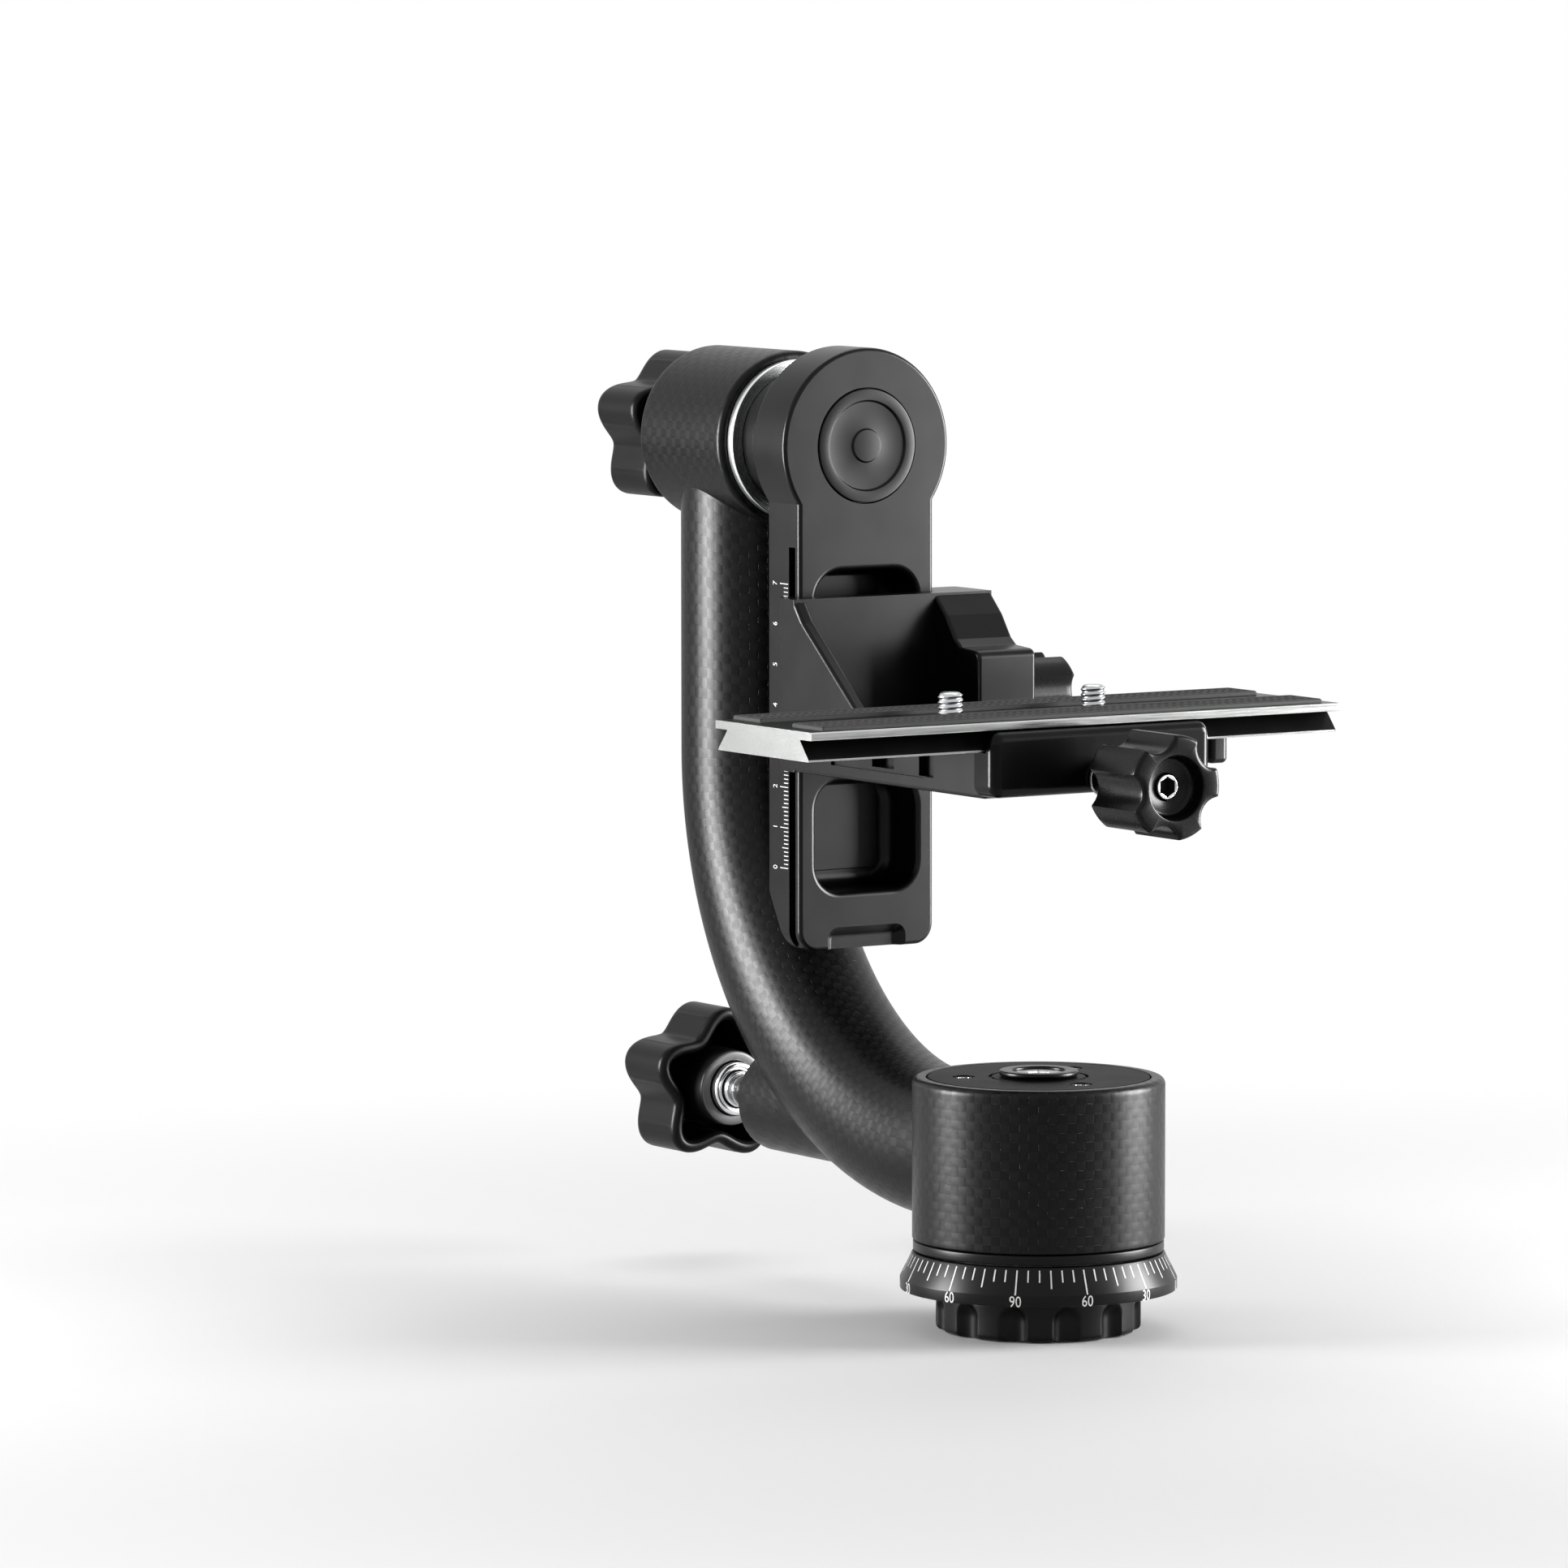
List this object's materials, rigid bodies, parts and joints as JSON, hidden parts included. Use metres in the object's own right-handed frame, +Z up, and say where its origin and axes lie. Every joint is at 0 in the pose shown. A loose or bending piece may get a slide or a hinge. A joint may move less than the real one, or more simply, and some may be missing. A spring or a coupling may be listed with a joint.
{
  "type": "gimbal tripod head",
  "caption": "Side-arm gimbal tripod head that pans, tilts and carries a long lens on a height-adjustable platform with a screw clamp and a long sliding plate.",
  "frame": {"origin": "mouth of the tripod socket, on the pan axis at the underside of the base collar", "axes": "+Z up along the pan axis; -Y is where the lens points; the J arm stands on the -X side; X is the tilt axis"},
  "size_m": [0.2276, 0.1511, 0.2325],
  "materials": {
    "carbon": "satin twill carbon fibre",
    "gloss_black": "gloss black enamel on a casting",
    "satin_black": "satin black anodising",
    "knob_black": "satin moulded plastic",
    "chrome": "bright plated",
    "steel": "machined",
    "bare_aluminium": "bright machined",
    "brass": "machined",
    "nylon": "plain",
    "rubber": "ribbed matt"
  },
  "bodies": {
    "base": {"base_collar": "satin_black", "socket_bush": "brass", "base_screw_1": "steel", "base_screw_2": "steel", "base_screw_3": "steel", "graduated_ring": "satin_black", "thrust_washer": "nylon", "pan_spindle": "steel", "spindle_nut": "steel"},
    "arm": {"drum_flange_ring": "satin_black", "pan_drum": "carbon", "drum_core": "bare_aluminium", "lower_pan_bearing": "steel", "upper_pan_bearing": "steel", "drum_cap": "gloss_black", "cap_screw_1": "steel", "cap_screw_2": "steel", "cap_screw_3": "steel", "cap_hub": "gloss_black", "cap_centre_screw": "steel", "arm_tube": "carbon", "pan_lock_boss": "satin_black", "pan_brake_pad": "brass", "tilt_barrel": "carbon", "tilt_core": "bare_aluminium", "tilt_bearing_inner": "steel", "tilt_bearing_outer": "steel", "barrel_end_plug": "satin_black", "tilt_brake_pad": "brass"},
    "pan_lock": {"pan_knob": "knob_black", "pan_knob_insert": "chrome", "pan_lock_screw": "chrome"},
    "tilt_lock": {"tilt_knob": "knob_black", "tilt_knob_insert": "chrome", "tilt_lock_stud": "chrome"},
    "swing_arm": {"swing_arm": "gloss_black", "hub_washer": "bare_aluminium", "tilt_axle": "steel", "hub_cover": "satin_black"},
    "platform": {"platform_bracket": "gloss_black", "height_lock_pad": "brass"},
    "height_lock": {"height_knob": "knob_black", "height_lock_stud": "steel"},
    "jaw": {"clamp_jaw": "gloss_black", "guide_pin_front": "steel", "guide_pin_rear": "steel"},
    "clamp_screw": {"clamp_knob": "knob_black", "clamp_washer": "steel", "clamp_stud": "chrome"},
    "plate": {"qr_plate": "bare_aluminium", "rubber_strip_left": "rubber", "rubber_strip_right": "rubber", "plate_stop": "gloss_black"},
    "front_camera_screw": {"camera_screw_front": "steel"},
    "rear_camera_screw": {"camera_screw_rear": "steel"}
  },
  "joints": [
    {"name": "pan", "type": "hinge", "parent": "base", "child": "arm", "pos_m": [0, 0, 0.0215], "axis": [0, 0, 1], "continuous": true},
    {"name": "pan_lock_turn", "type": "hinge", "parent": "arm", "child": "pan_lock", "pos_m": [-0.1369, 0, 0.0433], "axis": [-1, 0, 0], "range_deg": [-15, 340]},
    {"name": "tilt_lock_turn", "type": "hinge", "parent": "arm", "child": "tilt_lock", "pos_m": [-0.1492, 0, 0.2085], "axis": [-1, 0, 0], "range_deg": [-15, 340]},
    {"name": "tilt", "type": "hinge", "parent": "arm", "child": "swing_arm", "pos_m": [-0.1273, 0, 0.2085], "axis": [1, 0, 0], "continuous": true},
    {"name": "platform_height", "type": "slide", "parent": "swing_arm", "child": "platform", "axis": [0, 0, 1], "range_m": [-0.04, 0.0115]},
    {"name": "height_lock_turn", "type": "hinge", "parent": "platform", "child": "height_lock", "pos_m": [-0.07645, 0.033, 0.1431], "axis": [0, 1, 0], "range_deg": [-15, 340]},
    {"name": "clamp_open", "type": "slide", "parent": "platform", "child": "jaw", "axis": [1, 0, 0], "range_m": [0, 0.0045]},
    {"name": "clamp_turn", "type": "hinge", "parent": "jaw", "child": "clamp_screw", "pos_m": [0.0256, 0.0021, 0.1343], "axis": [1, 0, 0], "range_deg": [0, 1080]},
    {"name": "plate_slide", "type": "slide", "parent": "platform", "child": "plate", "axis": [0, 1, 0], "range_m": [-0.02, 0.045]},
    {"name": "front_screw_slide", "type": "slide", "parent": "plate", "child": "front_camera_screw", "axis": [0, 1, 0], "range_m": [-0.03, 0.012]},
    {"name": "rear_screw_slide", "type": "slide", "parent": "plate", "child": "rear_camera_screw", "axis": [0, 1, 0], "range_m": [-0.012, 0.02]}
  ],
  "couplings": [
    {"joint": "clamp_turn", "follows": "clamp_open", "rad_per_m": 4188.8}
  ]
}
